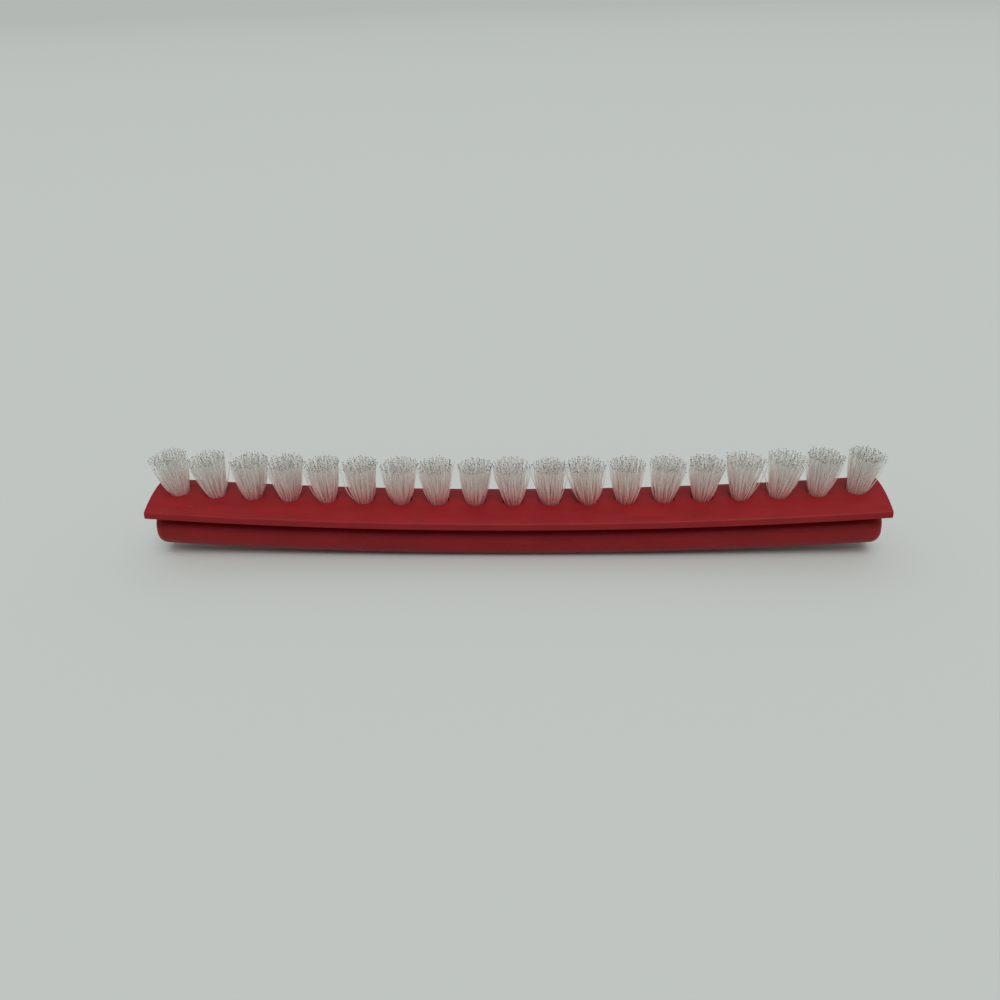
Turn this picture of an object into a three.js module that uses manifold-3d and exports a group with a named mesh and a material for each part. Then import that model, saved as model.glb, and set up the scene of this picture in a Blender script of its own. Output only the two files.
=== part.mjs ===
// Bristle strip of a pool wall brush.
//
// One plastic moulding carries a single row of bristle tufts. Its domed flange faces the
// pool wall, and the rail under the flange slides into the slot of a brush head. Each tuft
// is a bundle of nylon filaments, folded in half round a flat metal anchor that holds it
// in a blind hole. The moulding is bowed, so its two ends stand higher than its middle.
//
// Millimetres. +X runs along the strip and +Z points out through the bristles. The origin
// is the middle of the rail's underside, where the loose strip rests on a table.

import * as THREE from "three";
import { mergeVertices } from "three/addons/utils/BufferGeometryUtils.js";
import Module from "manifold-3d";

// ---- Driving dimensions ----

// The rail's underside is an arc of this radius, and lengths along the strip follow it.
const BOW_RADIUS = 1250;

// The flange reaches further in front of the row of tufts (-Y) than behind it.
const FLANGE_LENGTH = 194;
const FLANGE_FRONT_REACH = 9.3;
const FLANGE_BACK_REACH = 7;
const FLANGE_UNDERSIDE = 10.95; // above the rail's underside
const RIM_HEIGHT = 1.9; // upright front edge of the flange
const CROWN_RISE = 2.1; // dome above that edge
const CREST_OFFSET = 1.5; // top of the dome, behind the row

const RAIL_LENGTH = 192.8;
const RAIL_WIDTH = 12.4;
const RAIL_HEIGHT = 8.1;
const RAIL_FOOT_RADIUS = 4.6; // long lower edges
const RAIL_TOP_RADIUS = 2.3; // long upper edges
const STEM_END_RADIUS = 2.6; // round both ends of the rail and its neck

const NECK_WIDTH = 7.2;
const NECK_OVERLAP = 1; // into the flange above

const TUFT_COUNT = 19;
const TUFT_PITCH = 10.04;
const TUFT_FAN = 0.0009; // outward lean, radians for each millimetre from the middle
const TUFT_HEIGHT = 10.2; // above the mouth of its hole
const TUFT_TOP_RADIUS = 4.8;
const TUFT_FLARE_POWER = 0.7; // 1 is a plain cone, less makes the tuft bulge above its hole

const HOLE_RADIUS = 2.75;
const HOLE_DEPTH = 7.5;
const HOLE_CLEARANCE = 0.2; // radial, between a hole and its packed tuft
const FLOOR_CLEARANCE = 0.3; // between a hole's floor and its tuft

const ANCHOR_LENGTH = 6.3; // longer than the hole is wide, so both ends bite its wall
const ANCHOR_HEIGHT = 1.8;
const ANCHOR_THICKNESS = 0.45;
const ANCHOR_GAP = 0.25; // to the tuft and to the pocket
const FOLD_THICKNESS = 1.5; // filament loops under the anchor
const PLUG_CORNER = 0.7; // where those loops turn up against the hole's wall

// ---- Mesh fineness ----

const LENGTH_STEPS = 17; // odd, so that one facet lies flat across the middle
const CROWN_STEPS = 12;
const CORNER_STEPS = 4;
const END_ROUNDING_STEPS = 3;
const ROUND_SEGMENTS = 20;
const FLARE_STEPS = 4;

// ---- Worked out from the above ----

const DOME_CHORD = FLANGE_FRONT_REACH + CREST_OFFSET; // front edge to crest
const DOME_RADIUS = (DOME_CHORD ** 2 + CROWN_RISE ** 2) / (2 * CROWN_RISE);
const DOME_CENTRE = FLANGE_UNDERSIDE + RIM_HEIGHT + CROWN_RISE - DOME_RADIUS;
const MOUTH_HEIGHT = DOME_CENTRE + Math.sqrt(DOME_RADIUS ** 2 - CREST_OFFSET ** 2);
const PLUG_RADIUS = HOLE_RADIUS - HOLE_CLEARANCE;
const PLUG_BOTTOM = FLOOR_CLEARANCE - HOLE_DEPTH;
const ANCHOR_CENTRE = PLUG_BOTTOM + FOLD_THICKNESS + ANCHOR_GAP + ANCHOR_HEIGHT / 2;
const QUARTER_TURN = Math.PI / 2;

const redPlastic = new THREE.MeshStandardMaterial({ color: 0xa01f26, roughness: 0.42, metalness: 0 });
const clearNylon = new THREE.MeshStandardMaterial({ color: 0xd9d4cf, roughness: 0.35, metalness: 0 });
const anchorSteel = new THREE.MeshStandardMaterial({ color: 0xb9b6ae, roughness: 0.3, metalness: 1 });

const wasm = await Module();
wasm.setup();

// ---- Solids ----

function toSolid(geometry) {
  const bare = geometry.clone();
  bare.deleteAttribute("normal");
  bare.deleteAttribute("uv");
  const merged = mergeVertices(bare);
  const vertProperties = new Float32Array(merged.attributes.position.array);
  const triVerts = new Uint32Array(merged.index.array);
  return new wasm.Manifold(new wasm.Mesh({ numProp: 3, vertProperties, triVerts }));
}

function toGeometry(solid) {
  const mesh = solid.getMesh();
  const geometry = new THREE.BufferGeometry();
  geometry.setAttribute("position", new THREE.BufferAttribute(mesh.vertProperties, 3));
  geometry.setIndex(new THREE.BufferAttribute(mesh.triVerts, 1));
  geometry.computeVertexNormals();
  return geometry;
}

// Bends a point of the straight strip onto the bow.
function bend(point) {
  const angle = point.x / BOW_RADIUS;
  const radius = BOW_RADIUS - point.z;
  return new THREE.Vector3(radius * Math.sin(angle), point.y, BOW_RADIUS - radius * Math.cos(angle));
}

// A closed, bowed bar through a list of sections, each with its place along the strip and
// its outline. An outline runs anticlockwise in Y and Z, and all have as many points.
function bowedBar(sections) {
  const count = sections[0].outline.length;
  const points = sections.flatMap(({ along, outline }) =>
    outline.map(({ x: across, y: up }) => bend(new THREE.Vector3(along, across, up))),
  );
  const faces = [];
  for (let s = 0; s + 1 < sections.length; s += 1) {
    for (let i = 0; i < count; i += 1) {
      const here = s * count + i;
      const next = s * count + ((i + 1) % count);
      faces.push(here, next, here + count);
      faces.push(next, next + count, here + count);
    }
  }
  const lastRing = (sections.length - 1) * count;
  for (const [a, b, c] of THREE.ShapeUtils.triangulateShape(sections[0].outline, [])) {
    faces.push(c, b, a);
  }
  for (const [a, b, c] of THREE.ShapeUtils.triangulateShape(sections.at(-1).outline, [])) {
    faces.push(lastRing + a, lastRing + b, lastRing + c);
  }
  const geometry = new THREE.BufferGeometry().setFromPoints(points);
  geometry.setIndex(faces);
  return toSolid(geometry);
}

// Evenly spaced sections of one outline over a length.
function evenSections(length, outline) {
  return Array.from({ length: LENGTH_STEPS + 1 }, (_, i) => ({
    along: length * (i / LENGTH_STEPS - 0.5),
    outline,
  }));
}

// ---- The moulding ----

function flangeOutline() {
  const dome = new THREE.EllipseCurve(
    CREST_OFFSET,
    DOME_CENTRE,
    DOME_RADIUS,
    DOME_RADIUS,
    QUARTER_TURN - Math.asin((FLANGE_BACK_REACH - CREST_OFFSET) / DOME_RADIUS),
    QUARTER_TURN + Math.asin(DOME_CHORD / DOME_RADIUS),
  );
  return [
    new THREE.Vector2(-FLANGE_FRONT_REACH, FLANGE_UNDERSIDE),
    new THREE.Vector2(FLANGE_BACK_REACH, FLANGE_UNDERSIDE),
    ...dome.getPoints(CROWN_STEPS),
  ];
}

// The stem's section, the rail and the neck that joins it to the flange. `inset` draws in
// its sides and foot where an end rounds off.
function stemOutline(inset) {
  const half = RAIL_WIDTH / 2 - inset;
  const neckHalf = NECK_WIDTH / 2 - inset;
  const neckTop = FLANGE_UNDERSIDE + NECK_OVERLAP;
  const footRadius = RAIL_FOOT_RADIUS - inset;
  const corner = (y, z, radius, quarter) =>
    new THREE.EllipseCurve(
      y,
      z,
      radius,
      radius,
      quarter * QUARTER_TURN,
      (quarter + 1) * QUARTER_TURN,
    ).getPoints(CORNER_STEPS);
  return [
    ...corner(half - footRadius, inset + footRadius, footRadius, -1),
    ...corner(half - RAIL_TOP_RADIUS, RAIL_HEIGHT - RAIL_TOP_RADIUS, RAIL_TOP_RADIUS, 0),
    new THREE.Vector2(neckHalf, RAIL_HEIGHT),
    new THREE.Vector2(neckHalf, neckTop),
    new THREE.Vector2(-neckHalf, neckTop),
    new THREE.Vector2(-neckHalf, RAIL_HEIGHT),
    ...corner(RAIL_TOP_RADIUS - half, RAIL_HEIGHT - RAIL_TOP_RADIUS, RAIL_TOP_RADIUS, 1),
    ...corner(footRadius - half, inset + footRadius, footRadius, 2),
  ];
}

function stemSections() {
  const leftEnd = Array.from({ length: END_ROUNDING_STEPS }, (_, i) => {
    const angle = (i / END_ROUNDING_STEPS) * QUARTER_TURN;
    const fromEnd = STEM_END_RADIUS * (1 - Math.cos(angle));
    const inset = STEM_END_RADIUS * (1 - Math.sin(angle));
    return { along: fromEnd - RAIL_LENGTH / 2, outline: stemOutline(inset) };
  });
  const rightEnd = leftEnd.map(({ along, outline }) => ({ along: -along, outline })).reverse();
  const straight = evenSections(RAIL_LENGTH - 2 * STEM_END_RADIUS, stemOutline(0));
  return [...leftEnd, ...straight, ...rightEnd];
}

// The blind hole of one tuft, with the pocket that its anchor's ends bite into. Like the
// tuft it is drawn upright, with its origin in the hole's mouth.
function holeCutter() {
  const overrun = CROWN_RISE;
  const hole = new THREE.CylinderGeometry(
    HOLE_RADIUS,
    HOLE_RADIUS,
    HOLE_DEPTH + overrun,
    ROUND_SEGMENTS,
  );
  hole.rotateX(QUARTER_TURN);
  hole.translate(0, 0, (overrun - HOLE_DEPTH) / 2);
  return toSolid(hole).add(toSolid(anchorBox(ANCHOR_GAP)));
}

function stripGeometry(tuftPlaces) {
  const flange = bowedBar(evenSections(FLANGE_LENGTH, flangeOutline()));
  let strip = flange.add(bowedBar(stemSections()));
  const cutter = toGeometry(holeCutter());
  for (const place of tuftPlaces) {
    place.updateMatrix();
    strip = strip.subtract(toSolid(cutter.clone().applyMatrix4(place.matrix)));
  }
  return toGeometry(strip);
}

// ---- Tufts and anchors ----

// A bar across the hole, along the strip. `margin` grows it on every side.
function anchorBox(margin) {
  const box = new THREE.BoxGeometry(
    ANCHOR_LENGTH + 2 * margin,
    ANCHOR_THICKNESS + 2 * margin,
    ANCHOR_HEIGHT + 2 * margin,
  );
  return box.translate(0, 0, ANCHOR_CENTRE);
}

// The outer shape of one bundle of filaments: packed in the hole, flared above it, with a
// slot where the filaments part round the anchor.
function tuftGeometry() {
  const profile = [
    new THREE.Vector2(0, PLUG_BOTTOM),
    new THREE.Vector2(PLUG_RADIUS - PLUG_CORNER, PLUG_BOTTOM),
    new THREE.Vector2(PLUG_RADIUS, PLUG_BOTTOM + PLUG_CORNER),
  ];
  for (let i = 0; i <= FLARE_STEPS; i += 1) {
    const rise = i / FLARE_STEPS;
    const flare = (TUFT_TOP_RADIUS - PLUG_RADIUS) * rise ** TUFT_FLARE_POWER;
    profile.push(new THREE.Vector2(PLUG_RADIUS + flare, TUFT_HEIGHT * rise));
  }
  profile.push(new THREE.Vector2(0, TUFT_HEIGHT));
  const bundle = new THREE.LatheGeometry(profile, ROUND_SEGMENTS);
  bundle.rotateX(QUARTER_TURN);
  return toGeometry(toSolid(bundle).subtract(toSolid(anchorBox(ANCHOR_GAP))));
}

// One group for each tuft, standing in its hole's mouth and leaning outward.
function tuftPlaces() {
  return Array.from({ length: TUFT_COUNT }, (_, i) => {
    const along = (i - (TUFT_COUNT - 1) / 2) * TUFT_PITCH;
    const place = new THREE.Group();
    place.position.copy(bend(new THREE.Vector3(along, 0, MOUTH_HEIGHT)));
    place.rotation.y = TUFT_FAN * along;
    return place;
  });
}

function namedMesh(name, geometry, material) {
  const mesh = new THREE.Mesh(geometry, material);
  mesh.name = name;
  return mesh;
}

// ---- Assembly ----

const brush = new THREE.Group();
const places = tuftPlaces();
brush.add(namedMesh("brush_strip", stripGeometry(places), redPlastic));

const tuft = tuftGeometry();
const anchor = anchorBox(0);
places.forEach((place, i) => {
  const number = String(i + 1).padStart(2, "0");
  place.add(namedMesh(`tuft_${number}`, tuft, clearNylon));
  place.add(namedMesh(`anchor_${number}`, anchor, anchorSteel));
  brush.add(place);
});

export default brush;
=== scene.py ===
"""Looks for the bristle strip of a pool wall brush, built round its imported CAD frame.

The moulding is rebuilt as one smooth mesh with rounded edges and blind holes, and every tuft
as separate nylon filaments, each folded in half round its metal anchor. Lengths are in metres.
"""

import math
import random

import bmesh
import bpy
import numpy as np
from mathutils import Matrix, Vector


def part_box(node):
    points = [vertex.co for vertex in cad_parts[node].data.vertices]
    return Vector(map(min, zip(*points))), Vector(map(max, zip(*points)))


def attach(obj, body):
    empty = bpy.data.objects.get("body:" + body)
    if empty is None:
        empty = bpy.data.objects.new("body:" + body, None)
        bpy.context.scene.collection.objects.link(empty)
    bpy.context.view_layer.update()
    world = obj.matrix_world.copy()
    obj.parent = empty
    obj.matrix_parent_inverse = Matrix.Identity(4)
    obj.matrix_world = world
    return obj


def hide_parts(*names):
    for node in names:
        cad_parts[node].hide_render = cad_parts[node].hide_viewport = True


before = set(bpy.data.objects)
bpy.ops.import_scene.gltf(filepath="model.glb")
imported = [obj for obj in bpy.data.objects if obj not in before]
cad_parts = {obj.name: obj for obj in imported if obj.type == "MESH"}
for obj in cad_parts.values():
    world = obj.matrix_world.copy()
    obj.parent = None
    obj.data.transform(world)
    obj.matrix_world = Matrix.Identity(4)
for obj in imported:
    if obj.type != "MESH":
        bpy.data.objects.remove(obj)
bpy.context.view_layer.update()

MM = 0.001
TINY = 1e-8  # metres of slack when two places are compared
STATION_DECIMALS = 9  # sections whose places agree to this many decimals are one section
VERTEX_DECIMALS = 8  # and vertices of the moulding are likewise one vertex
ROOT = "root"  # the frame's only body
TUFT_COUNT = sum(name.startswith("tuft_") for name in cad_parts)

# The moulding's section, at heights above the rail's underside.
FLANGE_UNDERSIDE = 10.95 * MM
RIM_TOP = 12.85 * MM
CROWN_RISE = 2.1 * MM  # dome above the front rim
CREST_OFFSET = 1.5 * MM  # top of the dome, behind the row of tufts
LIP_ROUNDING = 0.45 * MM  # where the dome turns down to the flange's edges
RIM_FOOT_ROUNDING = 0.25 * MM
FLANGE_END_ROUNDING = 0.3 * MM
NECK_HALF_WIDTH = 3.6 * MM
RAIL_HALF_WIDTH = 6.2 * MM
RAIL_HEIGHT = 8.1 * MM
RAIL_FOOT_ROUNDING = 4.6 * MM
RAIL_TOP_ROUNDING = 2.3 * MM
RAIL_END_ROUNDING = 2.6 * MM
RAIL_END_SETBACK = 0.6 * MM

# The holes and the filaments in them.
HOLE_RADIUS = 2.75 * MM
HOLE_DEPTH = 7.5 * MM
HOLE_RIM_ROUNDING = 0.18 * MM
BRISTLE_HEIGHT = 10.2 * MM
APRON_WIDTH = 2.5 * HOLE_RIM_ROUNDING  # dome left bare round a hole's rounded rim
FILAMENT_RADIUS = 0.165 * MM
FILAMENT_SPACING = 0.37 * MM
ROW_RATIO = math.sqrt(0.75)  # row spacing over filament spacing, in close packing
PACKED_RADIUS = 2.57 * MM
TIP_SPREAD = 2.04  # the tips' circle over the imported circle
ANCHOR_CLEARANCE = 0.4 * MM
LOOP_TOP_DEPTH = 5.6 * MM  # where the filaments turn under the anchor
LOOP_SAG = 0.3 * MM  # how much deeper the filaments next to the anchor go
OUTER_LOOP_SAG = 0.9 * MM  # added for the outermost ones
CUT_LENGTH = 0.08 * MM  # of each tip, given the cut end's painted dark shade
OUTER_PALENESS = 0.22  # added to the height on the painted red reflection's scale at the two ends, where less red lies near

# How tufts and filaments differ from each other. A scatter is a standard deviation.
SPLAY_SCATTER = 0.035  # of a tuft's tip spread, as a share
LEAN_ALONG_SCATTER = 0.4 * MM
LEAN_ACROSS_SCATTER = 0.2 * MM
ROOT_SCATTER = 0.012 * MM
TIP_SCATTER = 0.18 * MM
BOW_SCATTER = 0.24 * MM  # of a filament's bulge to one side
WAVE_SCATTER = 0.14 * MM  # of its wave along the strip
TRIM_SCATTER = 0.06 * MM
TRIM_SHORTFALL = 0.03 * MM  # of the mean filament
FLARE = (0.7, 0.92)  # a filament leans out by its height to a power between these
STRAY_SHARE = 0.02
STRAY_REACH = (1.1, 1.35)  # over the reach of the others
SHORT_SHARE = 0.06
SHORT_BY = (0.2 * MM, 0.9 * MM)
THICKNESS = (0.93, 1.05)  # over FILAMENT_RADIUS

# Mesh fineness.
DOME_STEPS = 12
LIP_STEPS = 5
RIM_FOOT_STEPS = 4
FILLET_STEPS = 3
RAIL_TOP_STEPS = 6
RAIL_FOOT_STEPS = 10
CELL_STEPS = 8  # sections in one tuft's pitch
END_STEPS = 6
HOLE_RIM_STEPS = 4
APRON_SHARES = (0.3, 0.6, 0.82)  # rows of the dome, from a cell's border in to the hole's apron
WALL_SHARES = (0.4, 0.7, 1)  # rows down a hole's wall
RISE_STEPS = 7  # lengths of filament above the hole
LOOP_STEPS = 6
SIDES = 5
MOULDING_SHARP_ANGLE = 38  # degrees, edges that turn by more than this stay sharp
FILAMENT_SHARP_ANGLE = 65

SEED = 1279


# ---- The bow, read from the frame ----

TOP_RING_DIP = 1 * MM  # more than a leaning CAD tuft's top ring dips on one side


def box_centre(node):
    low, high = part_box(node)
    return (low + high) / 2


def numbered(stem, index):
    return f"{stem}_{index + 1:02d}"


def tuft_axis(index):
    """The middle of a tuft's hole mouth, and the direction it stands in."""
    root = box_centre(numbered("anchor", index))
    places = [vertex.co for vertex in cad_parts[numbered("tuft", index)].data.vertices]
    highest = max(place.z for place in places)
    top_ring = [place for place in places if place.z > highest - TOP_RING_DIP]
    top = sum(top_ring, Vector()) / len(top_ring)
    direction = (top - root).normalized()
    return top - direction * BRISTLE_HEIGHT, direction


def bow_radius():
    """Radius of the rail's underside, from the arc on which the hole mouths lie."""
    end, _ = TUFT_AXES[0]
    middle, _ = TUFT_AXES[TUFT_COUNT // 2]
    lift = end.z - middle.z
    mouth_arc = (end.x ** 2 + lift ** 2) / (2 * lift)
    return mouth_arc + middle.z


TUFT_AXES = [tuft_axis(index) for index in range(TUFT_COUNT)]
BOW_RADIUS = bow_radius()
STRIP_LOW, STRIP_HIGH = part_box("brush_strip")
FRONT_REACH = -STRIP_LOW.y
BACK_REACH = STRIP_HIGH.y
HALF_LENGTH = BOW_RADIUS * math.asin(STRIP_HIGH.x / (BOW_RADIUS - FLANGE_UNDERSIDE))
RAIL_HALF_LENGTH = HALF_LENGTH - RAIL_END_SETBACK


def bend(along, across, up):
    """A point of the straight strip, placed on the bow."""
    angle = along / BOW_RADIUS
    radius = BOW_RADIUS - up
    return Vector((radius * math.sin(angle), across, BOW_RADIUS - radius * math.cos(angle)))


# ---- Small helpers ----

def new_object(name, data):
    item = bpy.data.objects.new(name, data)
    bpy.context.scene.collection.objects.link(item)
    return item


def arc(centre, radius, start, end, steps):
    """Points on an arc, angles in degrees, anticlockwise in Y and Z."""
    points = []
    for step in range(steps + 1):
        angle = math.radians(start + (end - start) * step / steps)
        points.append((centre[0] + radius * math.cos(angle), centre[1] + radius * math.sin(angle)))
    return points


def end_inset(along, half_length, radius):
    """How far a section draws in where an end of the bar rounds off."""
    depth = radius - (half_length - abs(along))
    if depth <= 0:
        return 0
    return radius - math.sqrt(max(radius ** 2 - depth ** 2, 0))


# ---- The moulding's sections ----

# The dome is one arc across the flange, level at its crest.
DOME_CHORD = FRONT_REACH + CREST_OFFSET
DOME_RADIUS = (DOME_CHORD ** 2 + CROWN_RISE ** 2) / (2 * CROWN_RISE)
DOME_CENTRE = RIM_TOP + CROWN_RISE - DOME_RADIUS


def dome_height(across):
    """Height of the dome's surface, above the rail's underside."""
    return DOME_CENTRE + math.sqrt(DOME_RADIUS ** 2 - (across - CREST_OFFSET) ** 2)


class Lip:
    """The rounding where the dome turns down to one long edge of the flange."""

    def __init__(self, side, reach):
        self.side = side
        self.reach = reach
        across = side * (reach - LIP_ROUNDING)
        from_crest = across - CREST_OFFSET
        up = DOME_CENTRE + math.sqrt((DOME_RADIUS - LIP_ROUNDING) ** 2 - from_crest ** 2)
        self.centre = (across, up)
        self.start = math.degrees(math.atan2(up - DOME_CENTRE, from_crest))
        self.level = 90 - 90 * side
        self.dome_edge = across + LIP_ROUNDING * math.cos(math.radians(self.start))


FRONT_LIP = Lip(-1, FRONT_REACH)
BACK_LIP = Lip(1, BACK_REACH)
DOME_SPAN = BACK_LIP.dome_edge - FRONT_LIP.dome_edge
DOME_ROW = [BACK_LIP.dome_edge - DOME_SPAN * step / DOME_STEPS for step in range(DOME_STEPS + 1)]


def neck_half_width(along):
    """Half the neck's width where it meets the flange."""
    reach = min(abs(along), RAIL_HALF_LENGTH)
    return NECK_HALF_WIDTH - end_inset(reach, RAIL_HALF_LENGTH, RAIL_END_ROUNDING)


def flange_end(along):
    """How far the flange draws in at a place near its ends, and what that leaves of its width."""
    inset = end_inset(along, HALF_LENGTH, FLANGE_END_ROUNDING)
    return inset, 1 - inset / FRONT_REACH


def flange_side(lip, along):
    """From the edge of the dome, over one lip, down the rim and under to the neck."""
    inset, shrink = flange_end(along)
    foot_centre = (lip.side * (lip.reach - RIM_FOOT_ROUNDING), FLANGE_UNDERSIDE + RIM_FOOT_ROUNDING)
    foot_end = lip.level - 90 * lip.side
    over = arc(lip.centre, LIP_ROUNDING, lip.start, lip.level, LIP_STEPS)
    foot = arc(foot_centre, RIM_FOOT_ROUNDING, lip.level, foot_end, RIM_FOOT_STEPS)
    under = lip.side * (lip.reach + NECK_HALF_WIDTH) / 2
    side = [(y * shrink, z - inset) for y, z in over]
    side += [(y * shrink, z + inset) for y, z in foot]
    side.append((under, FLANGE_UNDERSIDE + inset))
    side.append((lip.side * neck_half_width(along), FLANGE_UNDERSIDE + inset))
    return side


def flange_dome(along):
    """The dome's outline, from its back edge to its front one."""
    inset, shrink = flange_end(along)
    return [(y * shrink, dome_height(y) - inset) for y in DOME_ROW]


def stem_section(along):
    """The neck and rail, from the neck's front top corner down round the rail to its back one."""
    inset = end_inset(along, RAIL_HALF_LENGTH, RAIL_END_ROUNDING)
    neck = NECK_HALF_WIDTH - inset
    rail = RAIL_HALF_WIDTH - inset
    foot = RAIL_FOOT_ROUNDING - inset
    fillet = rail - neck - RAIL_TOP_ROUNDING
    fillet_top = RAIL_HEIGHT + fillet
    shoulder = (RAIL_TOP_ROUNDING - rail, RAIL_HEIGHT - RAIL_TOP_ROUNDING)
    front = [(-neck, FLANGE_UNDERSIDE), (-neck, (FLANGE_UNDERSIDE + fillet_top) / 2)]
    front += arc((-neck - fillet, fillet_top), fillet, 360, 270, FILLET_STEPS)[:-1]
    front += arc(shoulder, RAIL_TOP_ROUNDING, 90, 180, RAIL_TOP_STEPS)
    front += arc((foot - rail, inset + foot), foot, 180, 270, RAIL_FOOT_STEPS)
    back = [(-y, z) for y, z in reversed(front)]
    return front + back


def cell_edges(hole_places):
    """Where one tuft's share of the flange ends and the next one's starts."""
    pitch = hole_places[1] - hole_places[0]
    edges = [hole_places[0] - pitch / 2]
    for first, second in zip(hole_places, hole_places[1:]):
        edges.append((first + second) / 2)
    edges.append(hole_places[-1] + pitch / 2)
    return [round(edge, STATION_DECIMALS) for edge in edges]


def stations(edges):
    """Every place along the strip where it has a section."""
    places = list(edges)
    for low, high in zip(edges, edges[1:]):
        for step in range(1, CELL_STEPS):
            places.append(low + (high - low) * step / CELL_STEPS)
    ends = ((RAIL_HALF_LENGTH, RAIL_END_ROUNDING), (HALF_LENGTH, FLANGE_END_ROUNDING))
    for half_length, radius in ends:
        for step in range(END_STEPS + 1):
            angle = math.radians(90 * step / END_STEPS)
            place = half_length - radius * (1 - math.cos(angle))
            places += [place, -place]
    return sorted({round(place, STATION_DECIMALS) for place in places})


class Shell:
    """A mesh in the making, whose faces share every vertex that lies at the same place."""

    def __init__(self):
        self.mesh = bmesh.new()
        self.known = {}

    def vertex(self, along, across, up):
        key = tuple(round(part, VERTEX_DECIMALS) for part in (along, across, up))
        if key not in self.known:
            self.known[key] = self.mesh.verts.new(bend(along, across, up))
        return self.known[key]

    def face(self, vertices):
        distinct = list(dict.fromkeys(vertices))
        if len(distinct) > 2:
            self.mesh.faces.new(distinct)

    def ribbon(self, first, second, closed=False):
        """Quads between two rows of vertices."""
        count = len(first)
        for i in range(count if closed else count - 1):
            j = (i + 1) % count
            self.face([first[i], first[j], second[j], second[i]])


def cell_border(inside):
    """The outline of one hole's share of the dome, as places along and across the strip."""
    border = [(place, FRONT_LIP.dome_edge) for place in inside]
    border += [(inside[-1], y) for y in reversed(DOME_ROW[1:-1])]
    border += [(place, BACK_LIP.dome_edge) for place in reversed(inside)]
    border += [(inside[0], y) for y in DOME_ROW[1:-1]]
    return border


def add_hole_cell(shell, inside, hole_place, lean):
    """The piece of the dome round one hole, the hole's rounded rim, its wall and its floor."""
    border = cell_border(inside)
    angles = [math.atan2(y, place - hole_place) for place, y in border]

    def ring(radius, depth):
        points = []
        for angle in angles:
            across = radius * math.sin(angle)
            along = hole_place + radius * math.cos(angle) - depth * math.sin(lean)
            points.append(shell.vertex(along, across, dome_height(across) - depth * math.cos(lean)))
        return points

    rows = [[shell.vertex(place, y, dome_height(y)) for place, y in border]]
    apron_radius = HOLE_RADIUS + APRON_WIDTH
    for share in APRON_SHARES:
        row = []
        for (place, y), angle in zip(border, angles):
            along = place + (hole_place + apron_radius * math.cos(angle) - place) * share
            across = y + (apron_radius * math.sin(angle) - y) * share
            row.append(shell.vertex(along, across, dome_height(across)))
        rows.append(row)
    rows.append(ring(apron_radius, 0))
    for step in range(HOLE_RIM_STEPS + 1):
        angle = math.radians(90 * step / HOLE_RIM_STEPS)
        radius = HOLE_RADIUS + HOLE_RIM_ROUNDING * (1 - math.sin(angle))
        rows.append(ring(radius, HOLE_RIM_ROUNDING * (1 - math.cos(angle))))
    for share in WALL_SHARES:
        rows.append(ring(HOLE_RADIUS, HOLE_DEPTH * share))
    for first, second in zip(rows, rows[1:]):
        shell.ribbon(first, second, closed=True)
    shell.face(rows[-1])


def hole_along(mouth, direction):
    """A hole's place along the straight strip, and how far it leans from the square there."""
    place = BOW_RADIUS * math.atan2(mouth.x, BOW_RADIUS - mouth.z)
    lean = math.atan2(direction.x, direction.z) + place / BOW_RADIUS
    return place, lean


def moulding_mesh():
    """The whole moulding as one closed skin."""
    shell = Shell()
    holes = [hole_along(mouth, direction) for mouth, direction in TUFT_AXES]
    edges = cell_edges([place for place, _ in holes])
    places = stations(edges)
    for low, high, (hole_place, lean) in zip(edges, edges[1:], holes):
        inside = [place for place in places if low <= place <= high]
        add_hole_cell(shell, inside, hole_place, lean)

    def rows(outline, where):
        return [[shell.vertex(place, y, z) for y, z in outline(place)] for place in where]

    domes = rows(flange_dome, places)
    fronts = rows(lambda place: flange_side(FRONT_LIP, place), places)
    backs = rows(lambda place: flange_side(BACK_LIP, place), places)
    stem_places = [place for place in places if abs(place) <= RAIL_HALF_LENGTH + TINY]
    stems = rows(stem_section, stem_places)

    for i, (low, high) in enumerate(zip(places, places[1:])):
        shell.ribbon(fronts[i], fronts[i + 1])
        shell.ribbon(backs[i], backs[i + 1])
        if high <= edges[0] or low >= edges[-1]:
            shell.ribbon(domes[i], domes[i + 1])
        if high <= stem_places[0] or low >= stem_places[-1]:
            shell.ribbon([fronts[i][-1], backs[i][-1]], [fronts[i + 1][-1], backs[i + 1][-1]])
    for first, second in zip(stems, stems[1:]):
        shell.ribbon(first, second)
    for end in (0, -1):
        shell.face(stems[end])
        shell.face(backs[end][::-1] + domes[end] + fronts[end])

    bmesh.ops.recalc_face_normals(shell.mesh, faces=shell.mesh.faces)
    mesh = bpy.data.meshes.new("moulding")
    shell.mesh.to_mesh(mesh)
    shell.mesh.free()
    return mesh


# ---- Filaments ----

def packed_roots(rng):
    """Close-packed places for filaments in one half of a hole, on one side of the anchor."""
    turn = rng.uniform(0, math.radians(60))
    reach = int(PACKED_RADIUS / FILAMENT_SPACING) + 2
    roots = []
    for row in range(-reach, reach + 1):
        for column in range(-reach, reach + 1):
            x = (column + 0.5 * (row % 2)) * FILAMENT_SPACING
            y = row * ROW_RATIO * FILAMENT_SPACING
            along = x * math.cos(turn) - y * math.sin(turn)
            across = x * math.sin(turn) + y * math.cos(turn)
            if math.hypot(along, across) < PACKED_RADIUS and across > ANCHOR_CLEARANCE:
                along += rng.gauss(0, ROOT_SCATTER)
                across += rng.gauss(0, ROOT_SCATTER)
                roots.append((along, across))
    return roots


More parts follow.
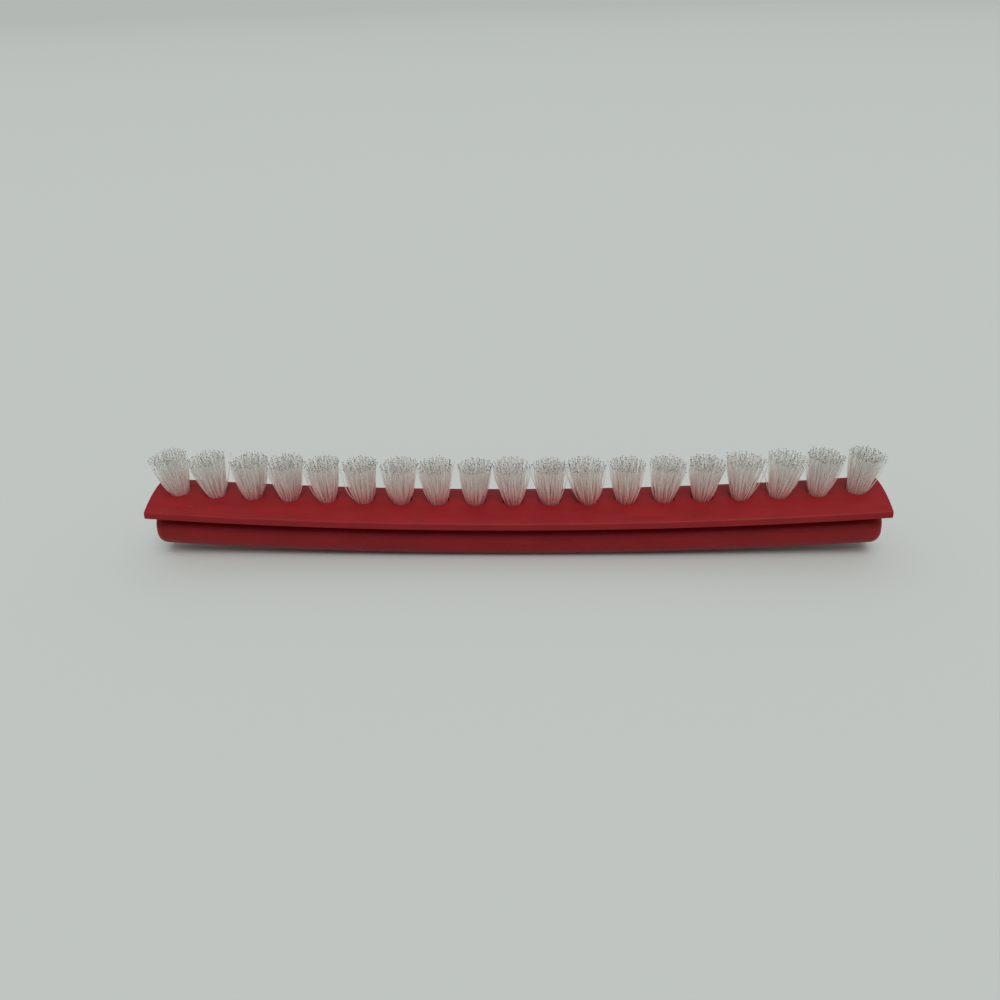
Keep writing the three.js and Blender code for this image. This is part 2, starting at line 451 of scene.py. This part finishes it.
def leg(rng, root, splay, lean):
    """One filament from its cut tip down to the hole's mouth, in the tuft's own frame.

    The anchor parts the filaments at the mouth. At the tips that gap has closed again.
    """
    along, across = root
    spread = TIP_SPREAD * splay
    from_middle = (abs(across) - ANCHOR_CLEARANCE) / (1 - ANCHOR_CLEARANCE / PACKED_RADIUS)
    tip_x = along * spread + lean[0] + rng.gauss(0, TIP_SCATTER)
    tip_y = math.copysign(from_middle, across) * spread + lean[1] + rng.gauss(0, TIP_SCATTER)
    if rng.random() < STRAY_SHARE:
        outward = rng.uniform(*STRAY_REACH)
        tip_x *= outward
        tip_y *= outward
    height = BRISTLE_HEIGHT + rng.gauss(-TRIM_SHORTFALL, TRIM_SCATTER)
    if rng.random() < SHORT_SHARE:
        height -= rng.uniform(*SHORT_BY)
    bow_x = rng.gauss(0, BOW_SCATTER)
    bow_y = rng.gauss(0, BOW_SCATTER)
    wave = rng.gauss(0, WAVE_SCATTER)
    flare = rng.uniform(*FLARE)
    rises = [1, 1 - CUT_LENGTH / height]
    rises += [1 - step / RISE_STEPS for step in range(1, RISE_STEPS + 1)]
    points = []
    for rise in rises:
        share = rise ** flare
        sway = math.sin(math.pi * rise)
        ripple = wave * math.sin(2 * math.pi * rise)
        points.append((
            along + (tip_x - along) * share + bow_x * sway + ripple,
            across + (tip_y - across) * share + bow_y * sway,
            height * rise,
        ))
    return points


def folded_filament(rng, root, splay, lean):
    """A whole filament: down one side of the anchor, round under it and up the other side."""
    along, across = root
    first = leg(rng, (along, across), splay, lean)
    second = leg(rng, (along, -across), splay, lean)
    sag = LOOP_SAG + OUTER_LOOP_SAG * across / PACKED_RADIUS
    loop = []
    for step in range(LOOP_STEPS + 1):
        angle = math.pi * step / LOOP_STEPS
        loop.append((along, across * math.cos(angle), -LOOP_TOP_DEPTH - sag * math.sin(angle)))
    return first + loop + second[::-1]


def tube_rings(paths, radii):
    """Rings of points round many paths of equal length: an array of filament, point, side, XYZ."""
    tangent = np.gradient(paths, axis=1)
    tangent /= np.linalg.norm(tangent, axis=2, keepdims=True)
    sideways = np.array([1.0, 0.0, 0.0]) - tangent * tangent[:, :, :1]
    sideways /= np.linalg.norm(sideways, axis=2, keepdims=True)
    third = np.cross(tangent, sideways)
    angles = np.arange(SIDES) * (2 * math.pi / SIDES)
    circle = (
        sideways[:, :, None] * np.cos(angles)[None, None, :, None]
        + third[:, :, None] * np.sin(angles)[None, None, :, None]
    )
    return paths[:, :, None] + circle * radii[:, None, None, None]


def tube_faces(filaments, points):
    """Faces of those tubes, and for each face whether it belongs to a filament's cut tip."""
    faces = []
    cut = []
    for filament in range(filaments):
        start = filament * points * SIDES
        for point in range(points - 1):
            ring = start + point * SIDES
            for side in range(SIDES):
                after = (side + 1) % SIDES
                beyond = ring + SIDES
                faces.append((ring + side, ring + after, beyond + after, beyond + side))
                cut.append(int(point in (0, points - 2)))
        last = start + (points - 1) * SIDES
        faces.append(tuple(start + side for side in reversed(range(SIDES))))
        faces.append(tuple(last + side for side in range(SIDES)))
        cut += [1, 1]
    return faces, cut


def paleness(index):
    """How far up the scale of its painted red reflection a tuft starts, which matters only for the
    outermost few.
    """
    middle = (TUFT_COUNT - 1) / 2
    outward = abs(index - middle) / middle
    return OUTER_PALENESS * outward ** 3


def tuft_mesh(index, materials):
    """All the filaments of one tuft as one mesh, with what its materials read off each point."""
    rng = random.Random(SEED + index)
    splay = rng.gauss(1, SPLAY_SCATTER)
    lean = (rng.gauss(0, LEAN_ALONG_SCATTER), rng.gauss(0, LEAN_ACROSS_SCATTER))
    folded = [folded_filament(rng, root, splay, lean) for root in packed_roots(rng)]
    paths = np.array(folded)
    filaments, points = paths.shape[:2]
    radii = np.array([FILAMENT_RADIUS * rng.uniform(*THICKNESS) for _ in range(filaments)])
    tones = np.array([rng.random() for _ in range(filaments)])
    rings = tube_rings(paths, radii)
    rise = np.repeat(paths[:, :, 2] / BRISTLE_HEIGHT + paleness(index), SIDES, axis=1).ravel()
    faces, cut = tube_faces(filaments, points)

    mouth, direction = TUFT_AXES[index]
    upright = Vector((0, 0, 1)).rotation_difference(direction).to_matrix()
    placed = rings.reshape(-1, 3) @ np.array(upright).T + np.array(mouth)
    mesh = bpy.data.meshes.new(numbered("tuft_filaments", index))
    mesh.from_pydata(placed.tolist(), [], faces)
    mesh.attributes.new("rise", "FLOAT", "POINT").data.foreach_set("value", rise)
    tone = np.repeat(tones, points * SIDES)
    mesh.attributes.new("tone", "FLOAT", "POINT").data.foreach_set("value", tone)
    for material in materials:
        mesh.materials.append(material)
    mesh.polygons.foreach_set("material_index", cut)
    mesh.shade_smooth()
    mesh.set_sharp_from_angle(angle=math.radians(FILAMENT_SHARP_ANGLE))
    return mesh


# ---- Materials ----

class Nodes:
    """A material's node tree, with short calls for the nodes used here."""

    def __init__(self, name):
        self.material = bpy.data.materials.new(name)
        self.material.use_nodes = True
        self.tree = self.material.node_tree
        self.surface = self.tree.nodes["Principled BSDF"]

    def add(self, kind, **settings):
        node = self.tree.nodes.new(kind)
        for key, value in settings.items():
            setattr(node, key, value)
        return node

    def link(self, output, target):
        self.tree.links.new(output, target)

    def set(self, **values):
        for key, value in values.items():
            self.surface.inputs[key.replace("_", " ")].default_value = value

    def place(self, scale):
        """Object coordinates, in metres, multiplied by an X, Y, Z scale."""
        coordinates = self.add("ShaderNodeTexCoord")
        mapping = self.add("ShaderNodeMapping")
        mapping.inputs["Scale"].default_value = scale
        self.link(coordinates.outputs["Object"], mapping.inputs["Vector"])
        return mapping.outputs["Vector"]

    def noise(self, scale, detail=2, roughness=0.5):
        """Noise with about this many features in a metre along X, Y and Z."""
        node = self.add("ShaderNodeTexNoise")
        node.inputs["Scale"].default_value = 1
        node.inputs["Detail"].default_value = detail
        node.inputs["Roughness"].default_value = roughness
        self.link(self.place(scale), node.inputs["Vector"])
        return node.outputs["Fac"]

    def ramp(self, value, stops):
        """A colour ramp over (position, colour) stops; a plain number stands for a grey."""
        node = self.add("ShaderNodeValToRGB")
        elements = node.color_ramp.elements
        while len(elements) < len(stops):
            elements.new(0.5)
        for element, (position, colour) in zip(elements, stops):
            element.position = position
            if isinstance(colour, (int, float)):
                colour = (colour, colour, colour)
            element.color = (*colour, 1)
        self.link(value, node.inputs["Fac"])
        return node.outputs["Color"]

    def mix(self, share, first, second, blend="MIX"):
        node = self.add("ShaderNodeMix", data_type="RGBA", blend_type=blend)
        self.feed(node.inputs["Factor"], share)
        self.feed(node.inputs["A"], first)
        self.feed(node.inputs["B"], second)
        return node.outputs["Result"]

    def blend_shaders(self, share, first, second):
        """One surface shader, with a share of a second one mixed in."""
        node = self.add("ShaderNodeMixShader")
        self.feed(node.inputs["Fac"], share)
        self.link(first, node.inputs[1])
        self.link(second, node.inputs[2])
        return node.outputs["Shader"]

    def attribute(self, name):
        """A value that the mesh holds for each of its points."""
        return self.add("ShaderNodeAttribute", attribute_name=name).outputs["Fac"]

    def math(self, operation, first, second):
        node = self.add("ShaderNodeMath", operation=operation)
        self.feed(node.inputs[0], first)
        self.feed(node.inputs[1], second)
        return node.outputs[0]

    def feed(self, socket, value):
        """Gives a socket whatever the value is: another node's output, a colour or a number."""
        if isinstance(value, bpy.types.NodeSocket):
            self.link(value, socket)
        elif isinstance(value, tuple):
            socket.default_value = (*value, 1)
        else:
            socket.default_value = value

    def bump(self, height, strength, distance, base=None):
        node = self.add("ShaderNodeBump")
        node.inputs["Strength"].default_value = strength
        node.inputs["Distance"].default_value = distance
        self.link(height, node.inputs["Height"])
        if base is not None:
            self.link(base, node.inputs["Normal"])
        return node.outputs["Normal"]


def red_plastic():
    """Satin red plastic, mottled and streaked along its flow, with a fine grain and pale dust."""
    nodes = Nodes("red_polypropylene")
    dull_red = (0.234, 0.0110, 0.0140)
    bright_red = (0.292, 0.0135, 0.0170)
    dark_streak = (0.14, 0.003, 0.004)
    bright_streak = (0.38, 0.012, 0.015)
    dust_colour = (0.46, 0.14, 0.13)
    streak_share = 0.10
    dust_share = 0.5
    grain_depth = 0.02 * MM
    streak_depth = 0.05 * MM

    mottle = nodes.noise((90, 260, 260), detail=3)
    colour = nodes.ramp(mottle, [(0.3, dull_red), (0.7, bright_red)])
    flow = nodes.noise((14, 1500, 1500), detail=4, roughness=0.6)
    streaks = nodes.ramp(flow, [(0.35, dark_streak), (0.65, bright_streak)])
    colour = nodes.mix(streak_share, colour, streaks)
    specks = nodes.ramp(nodes.noise((2600, 2600, 2600), detail=1), [(0.70, 0), (0.76, 1)])
    patches = nodes.ramp(nodes.noise((60, 60, 60)), [(0.48, 0), (0.62, 1)])
    dust = nodes.math("MULTIPLY", specks, patches)
    colour = nodes.mix(nodes.math("MULTIPLY", dust, dust_share), colour, dust_colour)
    nodes.link(colour, nodes.surface.inputs["Base Color"])
    roughness = nodes.ramp(flow, [(0.3, 0.40), (0.7, 0.54)])
    nodes.link(roughness, nodes.surface.inputs["Roughness"])
    grain = nodes.noise((4200, 4200, 4200))
    normal = nodes.bump(grain, 0.12, grain_depth)
    normal = nodes.bump(flow, 0.10, streak_depth, normal)
    nodes.link(normal, nodes.surface.inputs["Normal"])
    nodes.set(IOR=1.49, Specular_IOR_Level=0.18)
    return nodes.material


def clear_nylon():
    """Thin clear filament, bright where it scatters light, with painted red light reflected from
    the moulding near its root.

    "rise" is 0 at the hole's mouth and 1 at the tips, plus the tuft's paleness. "tone" is a
    random number for each filament, from 0 to 1.
    """
    nodes = Nodes("clear_nylon")
    reflected_red_waver = 0.2  # how far the painted red reflection's height differs from filament to filament
    translucent_share = 0.5
    rise = nodes.attribute("rise")
    tone = nodes.attribute("tone")
    waver = nodes.math("MULTIPLY", nodes.math("SUBTRACT", tone, 0.5), reflected_red_waver)
    # painted red light reflected from the moulding: redder and darker towards the root, pale at the
    # tips
    colour = nodes.ramp(nodes.math("ADD", rise, waver), [
        (0.0, (0.92, 0.40, 0.38)),
        (0.18, (1.0, 0.69, 0.66)),
        (0.42, (1.0, 0.88, 0.84)),
        (0.75, (1.0, 0.95, 0.91)),
        (1.0, (0.99, 0.99, 0.95)),
    ])
    shade = nodes.ramp(tone, [(0.0, 0.90), (0.5, 0.99), (1.0, 1.0)])
    colour = nodes.mix(1.0, colour, shade, blend="MULTIPLY")
    nodes.link(colour, nodes.surface.inputs["Base Color"])
    nodes.set(Roughness=0.3, IOR=1.53)

    through = nodes.add("ShaderNodeBsdfTranslucent")
    nodes.link(colour, through.inputs["Color"])
    surface = nodes.surface.outputs["BSDF"]
    milky = nodes.blend_shaders(translucent_share, surface, through.outputs["BSDF"])
    clear = nodes.add("ShaderNodeBsdfTransparent")
    clear_share = nodes.ramp(rise, [(0.0, 0.38), (0.45, 0.52), (1.0, 0.70)])
    filament = nodes.blend_shaders(clear_share, milky, clear.outputs["BSDF"])
    nodes.link(filament, nodes.tree.nodes["Material Output"].inputs["Surface"])
    return nodes.material


def cut_nylon():
    """The sheared end of a filament, painted dark as the shade seen looking down the clear
    filament's length.
    """
    nodes = Nodes("cut_nylon_end_painted_shade")
    # painted shade: dark greys for the view down each clear filament, varied at random by tone
    colour = nodes.ramp(nodes.attribute("tone"), [
        (0.0, (0.07, 0.066, 0.055)),
        (0.7, (0.24, 0.23, 0.20)),
        (1.0, (0.48, 0.47, 0.43)),
    ])
    nodes.link(colour, nodes.surface.inputs["Base Color"])
    nodes.set(Roughness=0.45)
    return nodes.material


def anchor_metal():
    """Flat steel wire, streaked along its length where it was drawn and rolled."""
    nodes = Nodes("anchor_steel")
    dark_steel = (0.42, 0.41, 0.39)
    bright_steel = (0.66, 0.65, 0.62)
    scratch_depth = 0.01 * MM
    drawn = nodes.noise((150, 4000, 4000), detail=3)
    colour = nodes.ramp(drawn, [(0.3, dark_steel), (0.7, bright_steel)])
    nodes.link(colour, nodes.surface.inputs["Base Color"])
    roughness = nodes.ramp(drawn, [(0.3, 0.22), (0.7, 0.42)])
    nodes.link(roughness, nodes.surface.inputs["Roughness"])
    nodes.link(nodes.bump(drawn, 0.3, scratch_depth), nodes.surface.inputs["Normal"])
    nodes.set(Metallic=1.0)
    return nodes.material


# ---- The object ----

strip = new_object("strip_moulding", moulding_mesh())
strip.data.materials.append(red_plastic())
strip.data.shade_smooth()
strip.data.set_sharp_from_angle(angle=math.radians(MOULDING_SHARP_ANGLE))
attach(strip, ROOT)
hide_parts("brush_strip")

nylon = [clear_nylon(), cut_nylon()]
steel = anchor_metal()
for index in range(TUFT_COUNT):
    tuft = new_object(numbered("tuft_filaments", index), tuft_mesh(index, nylon))
    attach(tuft, ROOT)
    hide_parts(numbered("tuft", index))
    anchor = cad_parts[numbered("anchor", index)]
    anchor.data.materials.clear()
    anchor.data.materials.append(steel)


# ---- Stage, light and camera ----

FLOOR_COLOUR = (0.62, 0.66, 0.63)
FLOOR_REACH = 60  # metres, far enough for its edge to lie on the horizon
FAR_SHADE = 0.86  # painted shade: the far floor's brightness over the near floor's
FAR_DISTANCE = 6  # metres, where the painted shade has darkened the floor to its far shade
EVEN_SHARE = 0.08  # of that distance, before which it doesn't darken
FAR_COLOUR = tuple(part * FAR_SHADE for part in FLOOR_COLOUR)
SKY_LOW = 0.18  # brightness of the sky at the horizon and overhead
SKY_HIGH = 0.53
SKY_ON_FLOOR = SKY_LOW + (SKY_HIGH - SKY_LOW) * 2 / 3  # its mean over the floor's hemisphere
FRONT_LIGHT = 1.56
FRONT_ELEVATION = 60  # degrees
FRONT_AZIMUTH = 8
FRONT_SOFTNESS = 34

CAMERA_ELEVATION = 29.86  # degrees
CAMERA_AZIMUTH = 2.85
CAMERA_ROLL = -1.545
CAMERA_DISTANCE = 268.85 * MM
CAMERA_AIM = Vector((-4.72, 25.86, 0)) * MM
LENS = 32.4  # millimetres, on the sensor width below
SENSOR_WIDTH = 36
CLIP_START = 10 * MM


def floor():
    """A wide matt floor, with painted shade that darkens it a little with distance."""
    mesh = bpy.data.meshes.new("floor")
    corners = [(-1, -1), (1, -1), (1, 1), (-1, 1)]
    places = [(x * FLOOR_REACH, y * FLOOR_REACH, 0) for x, y in corners]
    mesh.from_pydata(places, [], [(0, 1, 2, 3)])
    item = new_object("floor", mesh)
    nodes = Nodes("pale_floor")
    distance = nodes.add("ShaderNodeVectorMath", operation="LENGTH")
    nodes.link(nodes.place((1, 1, 1)), distance.inputs[0])
    share = nodes.math("DIVIDE", distance.outputs["Value"], FAR_DISTANCE)
    # painted shade, darker with distance from the middle
    colour = nodes.ramp(share, [(EVEN_SHARE, FLOOR_COLOUR), (1.0, FAR_COLOUR)])
    nodes.link(colour, nodes.surface.inputs["Base Color"])
    nodes.set(Roughness=1.0, Specular_IOR_Level=0.0)
    mesh.materials.append(nodes.material)


def world_light():
    """Soft light from all round, stronger from overhead.

    Seen directly, the sky has the far floor's brightness, so that no horizon shows.
    """
    world = bpy.data.worlds.new("studio")
    bpy.context.scene.world = world
    world.use_nodes = True
    tree = world.node_tree

    direction = tree.nodes.new("ShaderNodeTexCoord")
    split = tree.nodes.new("ShaderNodeSeparateXYZ")
    strength = tree.nodes.new("ShaderNodeMapRange")
    strength.inputs["To Min"].default_value = SKY_LOW
    strength.inputs["To Max"].default_value = SKY_HIGH
    tree.links.new(direction.outputs["Generated"], split.inputs["Vector"])
    tree.links.new(split.outputs["Z"], strength.inputs["Value"])
    lighting = tree.nodes["Background"]
    lighting.inputs["Color"].default_value = (1, 1, 1, 1)
    tree.links.new(strength.outputs["Result"], lighting.inputs["Strength"])

    front_on_floor = FRONT_LIGHT / math.pi * math.sin(math.radians(FRONT_ELEVATION))
    seen = tree.nodes.new("ShaderNodeBackground")
    seen.inputs["Color"].default_value = (*FAR_COLOUR, 1)
    seen.inputs["Strength"].default_value = SKY_ON_FLOOR + front_on_floor

    ray = tree.nodes.new("ShaderNodeLightPath")
    choose = tree.nodes.new("ShaderNodeMixShader")
    tree.links.new(ray.outputs["Is Camera Ray"], choose.inputs["Fac"])
    tree.links.new(lighting.outputs["Background"], choose.inputs[1])
    tree.links.new(seen.outputs["Background"], choose.inputs[2])
    tree.links.new(choose.outputs["Shader"], tree.nodes["World Output"].inputs["Surface"])


def front_light():
    """A broad soft light, high up on the camera's side."""
    light = bpy.data.lights.new("front_light", "SUN")
    light.energy = FRONT_LIGHT
    light.angle = math.radians(FRONT_SOFTNESS)
    item = new_object("front_light", light)
    tilt = math.radians(90 - FRONT_ELEVATION)
    item.rotation_euler = (tilt, 0, math.radians(FRONT_AZIMUTH))


def camera():
    """Looks along the photograph's line of sight, turned and rolled as the photographer held it."""
    elevation = math.radians(CAMERA_ELEVATION)
    azimuth = math.radians(CAMERA_AZIMUTH)
    roll = math.radians(CAMERA_ROLL)
    level = Vector((-math.sin(azimuth), math.cos(azimuth), 0))
    forward = level * math.cos(elevation) - Vector((0, 0, math.sin(elevation)))
    right = Vector((math.cos(azimuth), math.sin(azimuth), 0))
    up = right.cross(forward)
    turned_right = right * math.cos(roll) + up * math.sin(roll)
    turned_up = up * math.cos(roll) - right * math.sin(roll)
    data = bpy.data.cameras.new("camera")
    data.lens = LENS
    data.sensor_width = SENSOR_WIDTH
    data.clip_start = CLIP_START
    item = new_object("camera", data)
    rotation = Matrix((turned_right, turned_up, -forward)).transposed().to_4x4()
    item.matrix_world = Matrix.Translation(CAMERA_AIM - forward * CAMERA_DISTANCE) @ rotation
    bpy.context.scene.camera = item


floor()
world_light()
front_light()
camera()
bpy.context.scene.view_settings.view_transform = "Standard"
